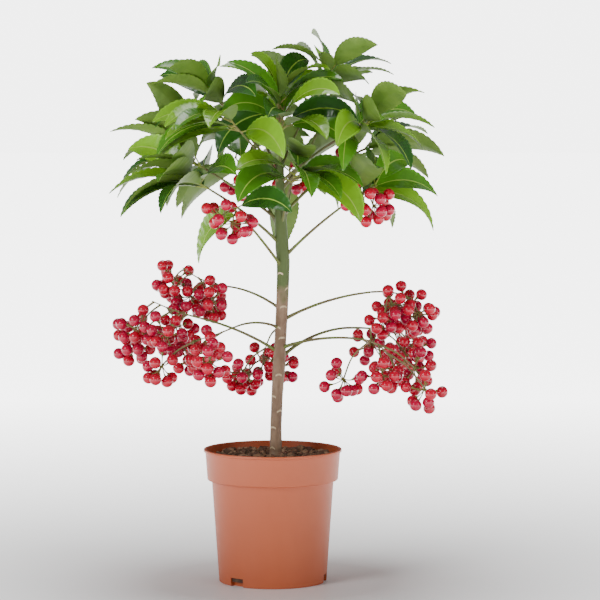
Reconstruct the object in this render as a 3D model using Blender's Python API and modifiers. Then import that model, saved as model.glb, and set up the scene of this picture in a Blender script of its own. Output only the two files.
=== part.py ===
"""A potted ardisia with red berries: pot, soil, trunk, boughs, leafy shoots and fruit trusses.

Metres, +Z up. The origin is the middle of the pot's flat underside, +X is the plant's right as
it is usually looked at, and -Y is its front. Compass turns are in degrees from +X, so 90 is the
back, 180 the left and 270 the front.
"""

import math
import random
from collections import namedtuple

import bmesh
import bpy
from mathutils import Matrix, Vector
from mathutils.bvhtree import BVHTree

MM = 0.001
GAP = 0.3 * MM  # left between touching solids
UP = Vector((0.0, 0.0, 1.0))
GOLDEN_SHARE = 0.618  # of a full turn or fan, from one leaf or stalk to the next

# The pot, a thin moulded nursery pot
POT_HEIGHT = 115.5 * MM
POT_RIM_RADIUS = 60.0 * MM
LIP_HEIGHT = 2.0 * MM
LIP_EDGE = 0.5 * MM
COLLAR_HEIGHT = 26.5 * MM
COLLAR_TOP_RADIUS = 58.6 * MM
COLLAR_FOOT_RADIUS = 56.8 * MM
BODY_TOP_RADIUS = 53.0 * MM
BODY_FOOT_RADIUS = 46.5 * MM
POT_WALL = 1.5 * MM
POT_FLOOR = 3.5 * MM
POT_STEPS = 32
FOOT_RING_RADIUS = 40.0 * MM
BASE_DISC_RADIUS = 14.0 * MM
BASE_RECESS = 1.5 * MM
DRAIN_TURNS = (229.0, 349.0, 109.0)
DRAIN_WIDTH = 14.0 * MM
DRAIN_HEIGHT = 7.5 * MM
DRAIN_DEPTH = 9.0 * MM

# The soil
SOIL_TOP = 109.0 * MM
SOIL_FLAT_RADIUS = 11.0 * MM  # level round the trunk's foot
SOIL_BUMP = 1.2 * MM
SOIL_RINGS = 2

# The trunk, from the soil up: height, lean to the right and radius in mm
TRUNK_LINE = (
    (109.3, 2.6, 6.1),
    (113.0, 2.6, 5.2),
    (138.0, 2.9, 4.9),
    (163.0, 3.9, 5.0),
    (188.0, 5.6, 5.4),
    (212.0, 6.8, 5.1),
    (236.0, 8.0, 5.3),
    (261.0, 9.0, 5.4),
    (279.0, 9.2, 5.7),
    (291.0, 8.2, 5.9),
    (316.0, 6.8, 5.0),
    (333.0, 6.2, 4.3),
    (352.0, 6.4, 3.6),
    (366.0, 6.8, 3.0),
)
LIMB_RADIUS = 1.45 * MM  # at the foot of an 80 mm bough
LIMB_TIP = 0.62  # of that is left at its tip
LIMB_STEPS = 5
STEM_STEPS = 3
STEM_TIP = 0.55

# Leaves
LEAF_WIDTH = 0.40  # of its length
LEAF_FOLD = 0.26  # how far its edges rise over its midrib, of half its width
LEAF_THICK = 1.0 * MM
LEAF_STATIONS = (0.25, 0.55, 0.85)
LEAF_STEPS = 20
PETIOLE = 9.0 * MM
PETIOLE_RADIUS = 0.9 * MM
LEAF_ROOM = 0.5 * MM  # kept clear on each side of a blade
LEAF_TRIES = 24
FACE_OUT = 1.0  # how much a blade turns its face away from the trunk

# Berries
BERRY_RADIUS = 5.1 * MM
STALK_RADIUS = 0.55 * MM
STALK_LENGTH = 9.5 * MM
TWIG_RADIUS = 0.85 * MM
TWIG_STEPS = 2
BERRY_ROOM = 0.35 * MM
BERRY_SIDES = 5
BERRY_TRIES = 20
FIRST_UMBEL = 0.15  # share of the stem before the first one
UMBEL_FAN = 230  # degrees that the twigs spread round the bough's turn
SHOOT_BERRIES = 3
SHOOT_HANG = 26.0

# Making: merge distances, side counts and colours
WELD = 1e-6
UNION_WELD = 1e-7
UNION_SOLVER = "MANIFOLD"  # EXACT leaves a sealed hollow in leaves_left_top
TRUNK_DETAIL = 4  # a limb has 4 sides, and 2 more for each step of detail
LIMB_DETAIL = 0
SOIL_SEED = 5
TERRACOTTA = (0.62, 0.19, 0.09)
COMPOST = (0.10, 0.06, 0.04)
BARK = (0.30, 0.22, 0.15)
GREEN_BARK = (0.22, 0.26, 0.08)
LEAF_GREEN = (0.12, 0.30, 0.04)
BERRY_RED = (0.65, 0.01, 0.03)

# A leafy shoot or a fruit truss, with the bough whose tip carries it. Heights and lengths in mm,
# turns and rises in degrees. foot: height on the trunk. turn: compass turn at the foot. rise and
# tip_rise: slope at the bough's foot and tip. length and reach: the bough's and the shoot's.
# umbels: how many heads of berries, each with that many berries, on twigs up to hang long.
# leaves, leaf, fan, lift: their number, length, spread round the bough's turn, and extra slope.
Shoot = namedtuple("Shoot", "name foot turn rise tip_rise length reach leaves leaf fan lift umbels seed")
Truss = namedtuple("Truss", "name foot turn rise tip_rise length reach end_rise umbels berries hang seed")

SHOOTS = (
    Shoot("front_left_low", 272, 230, 44, 38, 72, 18, 6, 66, 210, -12, 2, 1),
    Shoot("left_low", 292, 200, 44, 30, 82, 20, 7, 72, 210, -2, 0, 2),
    Shoot("left_mid", 312, 172, 40, 30, 80, 24, 7, 74, 220, 2, 0, 3),
    Shoot("back_left_low", 300, 122, 52, 34, 80, 24, 6, 70, 230, -4, 1, 104),
    Shoot("right_low", 281, 346, 46, 34, 82, 22, 7, 72, 210, -8, 2, 25),
    Shoot("front_low", 306, 288, 64, 44, 50, 20, 6, 70, 260, -10, 0, 86),
    Shoot("back_right_low", 316, 38, 42, 26, 90, 24, 6, 72, 220, -4, 1, 87),
    Shoot("back_low", 294, 82, 46, 34, 76, 24, 5, 70, 230, -4, 1, 108),
    Shoot("left_top", 352, 188, 54, 48, 66, 28, 8, 62, 250, 4, 0, 89),
    Shoot("front_top", 358, 276, 70, 52, 38, 22, 7, 64, 290, 0, 0, 110),
    Shoot("leader", 366, 260, 86, 80, 30, 26, 8, 60, 360, 8, 0, 71),
    Shoot("right_top", 340, 8, 44, 80, 84, 34, 8, 58, 320, 4, 0, 92),
    Shoot("right_mid", 346, 340, 42, 28, 74, 24, 7, 68, 220, 0, 0, 93),
    Shoot("back_right_top", 358, 58, 52, 46, 60, 26, 6, 64, 260, 2, 0, 94),
    Shoot("back_left_top", 355, 132, 52, 46, 60, 26, 6, 64, 260, 2, 0, 115),
    Shoot("front_left_top", 345, 224, 50, 40, 62, 24, 7, 66, 240, 0, 0, 16),
)
TRUSSES = (
    Truss("left_high", 236, 152, 34, 4, 60, 46, 34, 5, 3, 24, 241),
    Truss("left_front", 220, 222, 24, -16, 56, 46, -6, 5, 3, 48, 242),
    Truss("left", 199, 186, 34, 14, 76, 44, 26, 6, 3, 48, 243),
    Truss("back", 220, 112, 0, -48, 36, 26, -40, 4, 2, 40, 244),
    Truss("right_high", 227, 4, 29, 6, 82, 38, -26, 5, 3, 30, 245),
    Truss("right_front", 203, 328, 20, -4, 84, 28, -44, 5, 3, 54, 246),
    Truss("right_back", 194, 38, 34, -6, 94, 50, 0, 6, 3, 36, 247),
)

# What a seeded draw settles: a leaf on its stem, and a berry on its stalk
Leaf = namedtuple("Leaf", "root turn pitch droop roll length")
Berry = namedtuple("Berry", "root middle")


# The plan: where every limb, leaf and berry goes


def heading(turn, rise):
    a, e = math.radians(turn), math.radians(rise)
    return Vector((math.cos(a) * math.cos(e), math.sin(a) * math.cos(e), math.sin(e)))


def walk(start, turn, rise, tip_rise, length, steps):
    """Points along a limb whose slope changes evenly from rise to tip_rise."""
    points = [Vector(start)]
    for i in range(steps):
        slope = rise + (tip_rise - rise) * (i + 0.5) / steps
        points.append(points[-1] + heading(turn, slope) * (length / steps))
    return points


def along(points, share):
    """The point at that share of a line's length."""
    place = share * (len(points) - 1)
    i = min(int(place), len(points) - 2)
    return points[i].lerp(points[i + 1], place - i)


def trunk_place(height):
    """Middle and radius of the trunk at a height in mm."""
    for (z0, x0, r0), (z1, x1, r1) in zip(TRUNK_LINE, TRUNK_LINE[1:]):
        if height <= z1:
            share = (height - z0) / (z1 - z0)
            return Vector((x0 + (x1 - x0) * share, 0.0, height)) * MM, (r0 + (r1 - r0) * share) * MM
    raise ValueError(height)


def bough_line(row):
    foot, _ = trunk_place(row.foot)
    return walk(foot, row.turn, row.rise, row.tip_rise, row.length * MM, LIMB_STEPS)


def bough_radii(row):
    foot = LIMB_RADIUS * (0.6 + 0.005 * row.length)
    return [foot * (1.0 - (1.0 - LIMB_TIP) * i / LIMB_STEPS) for i in range(LIMB_STEPS + 1)]


def stem_line(row):
    """The stem that carries a shoot or truss on, just clear of its bough's tip."""
    line = bough_line(row)
    onward = (line[-1] - line[-2]).normalized()
    end_rise = row.end_rise if isinstance(row, Truss) else row.tip_rise + row.lift
    return walk(line[-1] + onward * GAP, row.turn, row.tip_rise, end_rise, row.reach * MM, STEM_STEPS)


def stem_radii(row):
    foot = bough_radii(row)[-1]
    return [foot * (1.0 - (1.0 - STEM_TIP) * i / STEM_STEPS) for i in range(STEM_STEPS + 1)]


def ring(middle, direction, radius, sides):
    """Points round a line."""
    across = direction.orthogonal().normalized()
    other = direction.cross(across)
    turns = (math.tau * i / sides for i in range(sides))
    return [middle + radius * (math.cos(t) * across + math.sin(t) * other) for t in turns]


def loft(rings, tip=None):
    """Points and faces of a closed skin over rings of as many points each, and a tip point."""
    sides = len(rings[0])
    points = [p for r in rings for p in r]
    faces = [tuple(range(sides))]
    for k in range(len(rings) - 1):
        for i in range(sides):
            a, b = k * sides + i, k * sides + (i + 1) % sides
            faces.append((a, a + sides, b + sides, b))
    last = len(points) - sides
    if tip is None:
        faces.append(tuple(range(len(points) - 1, last - 1, -1)))
    else:
        points.append(tip)
        faces += [(last + i, len(points) - 1, last + (i + 1) % sides) for i in range(sides)]
    return points, faces


def sleeve(points, radii, room):
    """A skin round a limb, to test what comes near it."""
    rings = []
    for i, middle in enumerate(points):
        before, after = points[max(i - 1, 0)], points[min(i + 1, len(points) - 1)]
        rings.append(ring(middle, (after - before).normalized(), radii[i] + room, 6))
    return loft(rings)


def leaf_spine(leaf):
    """Place, direction, side and face down a blade's midrib, from its base to its tip."""
    level = heading(leaf.turn + 90.0, 0.0)
    place = leaf.root + heading(leaf.turn, leaf.pitch) * PETIOLE
    rows = []
    for i in range(LEAF_STEPS + 1):
        share = i / LEAF_STEPS
        direction = heading(leaf.turn, leaf.pitch - leaf.droop * share**1.2)
        lean = math.radians(leaf.roll)
        side = level * math.cos(lean) + direction.cross(level) * math.sin(lean)
        rows.append((place.copy(), direction, side, direction.cross(side)))
        place += direction * (leaf.length / LEAF_STEPS)
    return rows


def half_width(share):
    """Half a blade's width at a share of its length, as a share of its full width."""
    return 0.5 * max(math.sin(math.pi * share**0.88), 0.0) ** 0.82


def leaf_skin(leaf, swell=0.0, petiole=True):
    """A leaf's closed skin: its petiole, a folded blade and a pointed tip."""
    spine = leaf_spine(leaf)
    thick = LEAF_THICK / 2 + swell
    rings = []
    if petiole:
        _, _, side, face = spine[0]
        rings.append([leaf.root + way * (PETIOLE_RADIUS + swell) for way in (-side, face, side, -face)])
    for share in LEAF_STATIONS:
        place, _, side, face = spine[round(share * LEAF_STEPS)]
        half = half_width(share) * LEAF_WIDTH * leaf.length + swell
        edge = face * half * LEAF_FOLD
        rings.append([place - side * half + edge, place + face * thick, place + side * half + edge, place - face * thick])
    return loft(rings, spine[-1][0] + spine[-1][1] * swell)


class Room:
    """What already has its place. A new piece stays clear of it."""

    def __init__(self):
        self.skins = []
        self.berries = []

    def add(self, owner, kind, skin):
        self.skins.append((owner, kind, BVHTree.FromPolygons(*skin)))

    def others(self, owner, but):
        return (tree for name, kind, tree in self.skins if name != owner or kind not in but)

    def takes_skin(self, owner, skin, but=()):
        """Whether the skin meets nothing, apart from its owner's pieces of the kinds in but."""
        tree = BVHTree.FromPolygons(*skin)
        reach = BERRY_RADIUS + BERRY_ROOM
        if any(tree.overlap(other) for other in self.others(owner, but)):
            return False
        return all(tree.find_nearest(middle, reach)[0] is None for middle in self.berries)

    def takes_berry(self, middle):
        reach = BERRY_RADIUS + BERRY_ROOM
        if any((other - middle).length < reach + BERRY_RADIUS for other in self.berries):
            return False
        return all(tree.find_nearest(middle, reach)[0] is None for _, _, tree in self.skins)


def draw_leaf(row, line, index, attempt):
    """The leaf that the shoot's seed gives for this place on its stem, at this try."""
    chance = random.Random(f"{row.seed}/{index}/{attempt}")
    share = (index + 0.6) / row.leaves
    wander = 8 + 2.5 * attempt
    spread = (index + 1.7 * row.seed) * GOLDEN_SHARE % 1.0 - 0.5
    turn = row.turn + row.fan * spread + chance.uniform(-wander, wander)
    pitch = 14 + row.lift + 26 * share + chance.uniform(-wander, wander)
    droop = 76 - 16 * share + chance.uniform(-14, 14)
    length = row.leaf * MM * (1.06 - 0.2 * share) * chance.uniform(0.9, 1.1)
    root = along(line, share)
    outward = UP + Vector((root.x, root.y, 0.0)).normalized() * FACE_OUT
    level = heading(turn + 90.0, 0.0)
    face = heading(turn, pitch - droop / 2).cross(level)
    roll = math.degrees(math.atan2(-outward.dot(level), outward.dot(face)))
    return Leaf(root, turn, pitch, droop, roll + chance.uniform(-16, 16), length)


def plan_leaves(row, room):
    """The shoot's leaves, each at its first try that meets nothing."""
    line = stem_line(row)
    leaves = []
    for index in range(row.leaves):
        for attempt in range(LEAF_TRIES):
            leaf = draw_leaf(row, line, index, attempt)
            whole = leaf_skin(leaf, LEAF_ROOM)
            blade = leaf_skin(leaf, LEAF_ROOM, petiole=False)
            if room.takes_skin(row.name, whole, but=("stem", "leaf")) and room.takes_skin(row.name, blade):
                room.add(row.name, "leaf", whole)
                leaves.append(leaf)
                break
    return leaves


def plan_umbel(row, index, middle, down, count, room):
    """Berries on stalks that spread from one point."""
    chance = random.Random(f"{row.seed}/umbel/{index}")
    berries = []
    for _ in range(count * BERRY_TRIES):
        spread = Vector([chance.gauss(0, 1) for _ in range(3)]).normalized()
        out = (down * chance.uniform(0.4, 1.2) + spread).normalized()
        reach = STALK_LENGTH * chance.uniform(0.75, 1.35) + BERRY_RADIUS
        berry = Berry(middle, middle + out * reach)
        stalk = sleeve([berry.root, berry.middle], [STALK_RADIUS] * 2, LEAF_ROOM)
        if room.takes_berry(berry.middle) and room.takes_skin(row.name, stalk, but=("stem", "twig")):
            room.berries.append(berry.middle)
            berries.append(berry)
            if len(berries) == count:
                break
    return berries


def draw_twig(row, line, index, attempt, hang):
    """A twig that bends down from its place on the stem, and the way its end points."""
    chance = random.Random(f"{row.seed}/twig/{index}/{attempt}")
    share = FIRST_UMBEL + (1.0 - FIRST_UMBEL) * (index + 0.7) / row.umbels
    spread = (index + row.seed) * GOLDEN_SHARE % 1.0 - 0.5
    turn = row.turn + UMBEL_FAN * spread + chance.uniform(-20, 20)
    slope = -chance.uniform(30, 80)
    reach = hang * MM * chance.uniform(0.4, 1.0)
    down = (heading(turn, slope) - UP * 0.6).normalized()
    return walk(along(line, share), turn, slope * 0.3, slope, reach, TWIG_STEPS), down


def plan_fruit(row, room, berries_each, hang):
    """Twigs that hang from the stem, and the berries at each twig's end."""
    line = stem_line(row)
    twigs, berries = [], []
    for index in range(row.umbels):
        for attempt in range(BERRY_TRIES):
            twig, down = draw_twig(row, line, index, attempt, hang)
            skin = sleeve(twig, [TWIG_RADIUS] * len(twig), LEAF_ROOM)
            if room.takes_skin(row.name, skin, but=("stem", "twig")):
                room.add(row.name, "twig", skin)
                twigs.append(twig)
                berries += plan_umbel(row, index, twig[-1], down, berries_each, room)
                break
    return twigs, berries


def plan():
    """Every shoot's and truss's leaves, twigs and berries, by name."""
    room = Room()
    places = [trunk_place(z) for z, _, _ in TRUNK_LINE]
    room.add("trunk", "limb", sleeve([p for p, _ in places], [r for _, r in places], LEAF_ROOM))
    for row in TRUSSES + SHOOTS:
        room.add(row.name, "limb", sleeve(bough_line(row), bough_radii(row), LEAF_ROOM))
        room.add(row.name, "stem", sleeve(stem_line(row), stem_radii(row), LEAF_ROOM))
    made = {}
    for row in TRUSSES:
        made[row.name] = ([], *plan_fruit(row, room, row.berries, row.hang))
    for row in SHOOTS:
        fruit = plan_fruit(row, room, SHOOT_BERRIES, SHOOT_HANG)
        made[row.name] = (plan_leaves(row, room), *fruit)
    return made


# Making solids


def finish(solid, colour, roughness):
    look = bpy.data.materials.new(solid.name)
    look.use_nodes = True
    shader = look.node_tree.nodes["Principled BSDF"]
    shader.inputs["Base Color"].default_value = (*colour, 1.0)
    shader.inputs["Roughness"].default_value = roughness
    shader.inputs["Metallic"].default_value = 0.0
    solid.data.materials.clear()
    solid.data.materials.append(look)


def add_object(name, data, home):
    made = bpy.data.objects.new(name, data)
    home.objects.link(made)
    return made


def as_mesh(source):
    """The evaluated shape of an object as a mesh of its own."""
    return bpy.data.meshes.new_from_object(source.evaluated_get(bpy.context.evaluated_depsgraph_get()))


def skin_mesh(name, skin):
    points, faces = skin
    mesh = bpy.data.meshes.new(name)
    mesh.from_pydata(points, [], faces)
    shape = bmesh.new()
    shape.from_mesh(mesh)
    bmesh.ops.recalc_face_normals(shape, faces=shape.faces)
    shape.to_mesh(mesh)
    shape.free()
    return mesh


def limb_mesh(name, points, radii, detail):
    """A tapering limb: a bevelled curve with a radius at each point, its caps welded on."""
    curve = bpy.data.curves.new(name, "CURVE")
    curve.dimensions = "3D"
    curve.bevel_depth = 1.0
    curve.bevel_resolution = detail
    curve.use_fill_caps = True
    spline = curve.splines.new("POLY")
    spline.points.add(len(points) - 1)
    for knot, middle, radius in zip(spline.points, points, radii):
        knot.co = (*middle, 1.0)
        knot.radius = radius
    guide = add_object(name, curve, bpy.context.scene.collection)
    mesh = as_mesh(guide)
    bpy.data.objects.remove(guide)
    bpy.data.curves.remove(curve)
    shape = bmesh.new()
    shape.from_mesh(mesh)
    bmesh.ops.remove_doubles(shape, verts=shape.verts, dist=WELD)
    shape.to_mesh(mesh)
    shape.free()
    return mesh


def berry_mesh(name, berry):
    """A berry and its stalk, turned as one round the line from the stalk's root."""
    reach = (berry.middle - berry.root).length
    belt = 0.5 * BERRY_RADIUS
    profile = (
        (0.0, 0.0),
        (STALK_RADIUS, 0.0),
        (STALK_RADIUS, reach - 0.98 * BERRY_RADIUS),
        (0.95 * BERRY_RADIUS, reach - belt),
        (0.95 * BERRY_RADIUS, reach + belt),
        (0.0, reach + BERRY_RADIUS),
    )
    shape = bmesh.new()
    knots = [shape.verts.new((x, 0.0, z)) for x, z in profile]
    edges = [shape.edges.new(pair) for pair in zip(knots, knots[1:])]
    bmesh.ops.spin(shape, geom=knots + edges, axis=UP, steps=BERRY_SIDES, angle=math.tau)
    bmesh.ops.remove_doubles(shape, verts=shape.verts, dist=WELD)
    bmesh.ops.recalc_face_normals(shape, faces=shape.faces)
    lean = (berry.middle - berry.root).to_track_quat("Z", "Y").to_matrix().to_4x4()
    bmesh.ops.transform(shape, verts=shape.verts, matrix=Matrix.Translation(berry.root) @ lean)
    mesh = bpy.data.meshes.new(name)
    shape.to_mesh(mesh)
    shape.free()
    return mesh


def shells(shape):
    """The connected groups of a mesh's vertices."""
    left = set(shape.verts)
    groups = []
    while left:
        group, edge = set(), [left.pop()]
        while edge:
            vert = edge.pop()
            group.add(vert)
            near = {link.other_vert(vert) for link in vert.link_edges} & left
            left -= near
            edge += near
        groups.append(group)
    return groups


def keep_main_shell(mesh):
    """Drops loose scraps and fills sealed hollows."""
    shape = bmesh.new()
    shape.from_mesh(mesh)
    bmesh.ops.remove_doubles(shape, verts=shape.verts, dist=UNION_WELD)
    groups = sorted(shells(shape), key=len)
    bmesh.ops.delete(shape, geom=[v for group in groups[:-1] for v in group], context="VERTS")
    shape.to_mesh(mesh)
    shape.free()


def fuse(name, stem, grown, home):
    """One solid from a stem's mesh and the meshes of all that grows on it."""
    solid = add_object(name, stem, home)
    pieces = bpy.data.collections.new(name + "_pieces")
    bpy.context.scene.collection.children.link(pieces)
    for mesh in grown:
        add_object(mesh.name, mesh, pieces)
    union = solid.modifiers.new("union", "BOOLEAN")
    union.operation = "UNION"
    union.operand_type = "COLLECTION"
    union.collection = pieces
    union.solver = UNION_SOLVER
    mesh = as_mesh(solid)
    solid.modifiers.clear()
    solid.data = mesh
    for piece in list(pieces.objects):
        bpy.data.objects.remove(piece)
    bpy.data.collections.remove(pieces)
    keep_main_shell(mesh)
    return solid


def turned(name, profile, home):
    """A solid turned from a profile of radius and height."""
    mesh = bpy.data.meshes.new(name)
    edges = [(i, i + 1) for i in range(len(profile) - 1)]
    mesh.from_pydata([(radius, 0.0, height) for radius, height in profile], edges, [])
    solid = add_object(name, mesh, home)
    screw = solid.modifiers.new("turn", "SCREW")
    screw.steps = screw.render_steps = POT_STEPS
    screw.use_merge_vertices = True
    screw.merge_threshold = WELD
    screw.use_smooth_shade = True
    return solid


def body_radius(height):
    """The pot body's outer radius, under its collar."""
    share = height / (POT_HEIGHT - COLLAR_HEIGHT)
    return BODY_FOOT_RADIUS + (BODY_TOP_RADIUS - BODY_FOOT_RADIUS) * share


def make_pot(home, cutters):
    collar_foot = POT_HEIGHT - COLLAR_HEIGHT
    step = collar_foot + POT_WALL
    lip_foot = POT_HEIGHT - LIP_HEIGHT
    pot = turned(
        "pot",
        (
            (0.0, POT_FLOOR),
            (body_radius(POT_FLOOR) - POT_WALL, POT_FLOOR),
            (BODY_TOP_RADIUS - POT_WALL, step),
            (COLLAR_FOOT_RADIUS - POT_WALL, step),
            (COLLAR_TOP_RADIUS - POT_WALL, POT_HEIGHT),
            (POT_RIM_RADIUS - LIP_EDGE, POT_HEIGHT),
            (POT_RIM_RADIUS, POT_HEIGHT - LIP_EDGE),
            (POT_RIM_RADIUS, lip_foot),
            (COLLAR_TOP_RADIUS, lip_foot - LIP_EDGE),
            (COLLAR_FOOT_RADIUS, collar_foot),
            (BODY_TOP_RADIUS, collar_foot),
            (BODY_FOOT_RADIUS, 0.0),
            (FOOT_RING_RADIUS, 0.0),
            (FOOT_RING_RADIUS, BASE_RECESS),
            (BASE_DISC_RADIUS, BASE_RECESS),
            (BASE_DISC_RADIUS, 0.0),
            (0.0, 0.0),
        ),
        home,
    )
    for number, turn in enumerate(DRAIN_TURNS, 1):
        bpy.ops.mesh.primitive_cube_add(size=1.0)
        cutter = bpy.context.object
        cutter.name = f"drain_cutter_{number}"
        cutter.location = heading(turn, 0.0) * BODY_FOOT_RADIUS
        cutter.rotation_euler.z = math.radians(turn)
        cutter.scale = (DRAIN_DEPTH, DRAIN_WIDTH, 2.0 * DRAIN_HEIGHT)
        as_cutter(cutter, cutters)
        cut(pot, cutter)
    finish(pot, TERRACOTTA, 0.42)


def as_cutter(cutter, cutters):
    for home in list(cutter.users_collection):
        home.objects.unlink(cutter)
    cutters.objects.link(cutter)
    cutter.hide_render = True
    cutter.display_type = "WIRE"


def cut(solid, cutter):
    difference = solid.modifiers.new(cutter.name, "BOOLEAN")
    difference.operation = "DIFFERENCE"
    difference.object = cutter


def make_soil(home):
    """The filling, clear of the pot all round, with a rough top that is level at the trunk."""
    step = POT_HEIGHT - COLLAR_HEIGHT + POT_WALL
    foot = POT_FLOOR + GAP
    edge = COLLAR_FOOT_RADIUS + (COLLAR_TOP_RADIUS - COLLAR_FOOT_RADIUS) * 0.7 - POT_WALL - GAP
    edge_height = SOIL_TOP - SOIL_BUMP
    rings = [SOIL_FLAT_RADIUS + (edge - SOIL_FLAT_RADIUS) * i / SOIL_RINGS for i in range(SOIL_RINGS)]
    profile = [(0.0, SOIL_TOP)] + [(radius, SOIL_TOP) for radius in rings]
    profile += [
        (edge, edge_height),
        (COLLAR_FOOT_RADIUS - POT_WALL - GAP, step + GAP),
        (BODY_TOP_RADIUS - POT_WALL - GAP, step + GAP),
        (body_radius(foot) - POT_WALL - GAP, foot),
        (0.0, foot),
    ]
    soil = turned("soil", profile, home)
    mesh = as_mesh(soil)
    soil.modifiers.clear()
    soil.data = mesh
    chance = random.Random(SOIL_SEED)
    for vert in mesh.vertices:
        if vert.co.z > SOIL_TOP - WELD and vert.co.xy.length > SOIL_FLAT_RADIUS + WELD:
            vert.co.z += chance.uniform(-1.0, 1.0) * SOIL_BUMP
    finish(soil, COMPOST, 0.95)


def make_trunk(home, cutters):
    """The trunk, and the cutter that trims the boughs' feet just clear of it."""
    places = [trunk_place(height) for height, _, _ in TRUNK_LINE]
    line = [middle for middle, _ in places]
    trunk = add_object("trunk", limb_mesh("trunk", line, [r for _, r in places], TRUNK_DETAIL), home)
    finish(trunk, BARK, 0.8)
    sleeve_mesh = limb_mesh("trunk_cutter", line, [r + GAP for _, r in places], TRUNK_DETAIL)
    cutter = add_object("trunk_cutter", sleeve_mesh, bpy.context.scene.collection)
    as_cutter(cutter, cutters)
    return cutter


def make_bough(row, home, trunk_cutter):
    mesh = limb_mesh("bough_" + row.name, bough_line(row), bough_radii(row), LIMB_DETAIL)
    bough = add_object("bough_" + row.name, mesh, home)
    cut(bough, trunk_cutter)
    finish(bough, GREEN_BARK, 0.7)


def make_mass(row, planned, home):
    """A shoot's or truss's stem, with its twigs, leaves and berries fused on."""
    leaves, twigs, berries = planned
    kind = "fruit" if isinstance(row, Truss) else "leaves"
    stem = limb_mesh(row.name, stem_line(row), stem_radii(row), LIMB_DETAIL)
    grown = [limb_mesh("twig", twig, [TWIG_RADIUS] * len(twig), LIMB_DETAIL) for twig in twigs]
    grown += [skin_mesh("leaf", leaf_skin(leaf)) for leaf in leaves]
    grown += [berry_mesh("berry", berry) for berry in berries]
    mass = fuse(f"{kind}_{row.name}", stem, grown, home)
    finish(mass, BERRY_RED if kind == "fruit" else LEAF_GREEN, 0.35)


def main():
    for old in list(bpy.data.objects):
        bpy.data.objects.remove(old)
    home = bpy.data.collections.new("potted_ardisia")
    cutters = bpy.data.collections.new("cutters")
    for group in (home, cutters):
        bpy.context.scene.collection.children.link(group)
    make_pot(home, cutters)
    make_soil(home)
    trunk_cutter = make_trunk(home, cutters)
    planned = plan()
    for row in TRUSSES + SHOOTS:
        make_bough(row, home, trunk_cutter)
        make_mass(row, planned[row.name], home)


if __name__ == "__main__":
    main()
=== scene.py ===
"""The looks of a potted ardisia with red berries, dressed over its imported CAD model.

The tables and the plan are the source's own, written again here, so each leaf and berry of the
solids has a finer one in its place. More of both then grow in the room that is left. Metres, +Z
up. Compass turns are in degrees from +X, so 90 is the back, 180 the left and 270 the front.
"""

import math
import random
from collections import namedtuple

import bmesh
import bpy
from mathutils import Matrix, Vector, noise
from mathutils.bvhtree import BVHTree


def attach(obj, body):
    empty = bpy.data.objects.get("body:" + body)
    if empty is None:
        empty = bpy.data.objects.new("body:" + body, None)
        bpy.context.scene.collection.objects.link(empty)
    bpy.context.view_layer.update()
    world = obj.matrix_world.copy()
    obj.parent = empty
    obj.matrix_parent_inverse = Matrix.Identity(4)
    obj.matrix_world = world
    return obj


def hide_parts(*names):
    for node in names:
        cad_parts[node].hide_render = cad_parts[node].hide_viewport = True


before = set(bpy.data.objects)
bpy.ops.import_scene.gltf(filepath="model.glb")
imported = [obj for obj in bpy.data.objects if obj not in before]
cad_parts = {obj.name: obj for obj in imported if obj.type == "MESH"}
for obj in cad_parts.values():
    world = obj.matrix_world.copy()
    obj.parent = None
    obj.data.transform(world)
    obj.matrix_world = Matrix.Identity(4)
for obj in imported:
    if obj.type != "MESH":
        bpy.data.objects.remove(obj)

MM = 0.001
GAP = 0.3 * MM  # left between touching solids
UP = Vector((0.0, 0.0, 1.0))
GOLDEN_SHARE = 0.618  # of a full turn or fan, from one leaf or stalk to the next

# The pot, a thin moulded nursery pot
POT_HEIGHT = 115.5 * MM
POT_RIM_RADIUS = 60.0 * MM
LIP_HEIGHT = 2.0 * MM
LIP_EDGE = 0.5 * MM
COLLAR_HEIGHT = 26.5 * MM
COLLAR_TOP_RADIUS = 58.6 * MM
COLLAR_FOOT_RADIUS = 56.8 * MM
BODY_TOP_RADIUS = 53.0 * MM
BODY_FOOT_RADIUS = 46.5 * MM
POT_WALL = 1.5 * MM
POT_FLOOR = 3.5 * MM
FOOT_RING_RADIUS = 40.0 * MM
BASE_DISC_RADIUS = 14.0 * MM
BASE_RECESS = 1.5 * MM
DRAIN_TURNS = (229.0, 349.0, 109.0)
DRAIN_WIDTH = 14.0 * MM
DRAIN_HEIGHT = 7.5 * MM
DRAIN_DEPTH = 9.0 * MM

# The soil
SOIL_TOP = 109.0 * MM

# The trunk, from the soil up: height, lean to the right and radius in mm
TRUNK_LINE = (
    (109.3, 2.6, 6.1),
    (113.0, 2.6, 5.2),
    (138.0, 2.9, 4.9),
    (163.0, 3.9, 5.0),
    (188.0, 5.6, 5.4),
    (212.0, 6.8, 5.1),
    (236.0, 8.0, 5.3),
    (261.0, 9.0, 5.4),
    (279.0, 9.2, 5.7),
    (291.0, 8.2, 5.9),
    (316.0, 6.8, 5.0),
    (333.0, 6.2, 4.3),
    (352.0, 6.4, 3.6),
    (366.0, 6.8, 3.0),
)
LIMB_RADIUS = 1.45 * MM  # at the foot of an 80 mm bough
LIMB_TIP = 0.62  # of that is left at its tip
LIMB_STEPS = 5
STEM_STEPS = 3
STEM_TIP = 0.55

# Leaves
LEAF_WIDTH = 0.40  # of its length
LEAF_FOLD = 0.26  # how far its edges rise over its midrib, of half its width
LEAF_THICK = 1.0 * MM
LEAF_STATIONS = (0.25, 0.55, 0.85)
LEAF_STEPS = 20
PETIOLE = 9.0 * MM
PETIOLE_RADIUS = 0.9 * MM
LEAF_ROOM = 0.5 * MM  # kept clear on each side of a blade
LEAF_TRIES = 24
FACE_OUT = 1.0  # how much a blade turns its face away from the trunk

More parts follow.
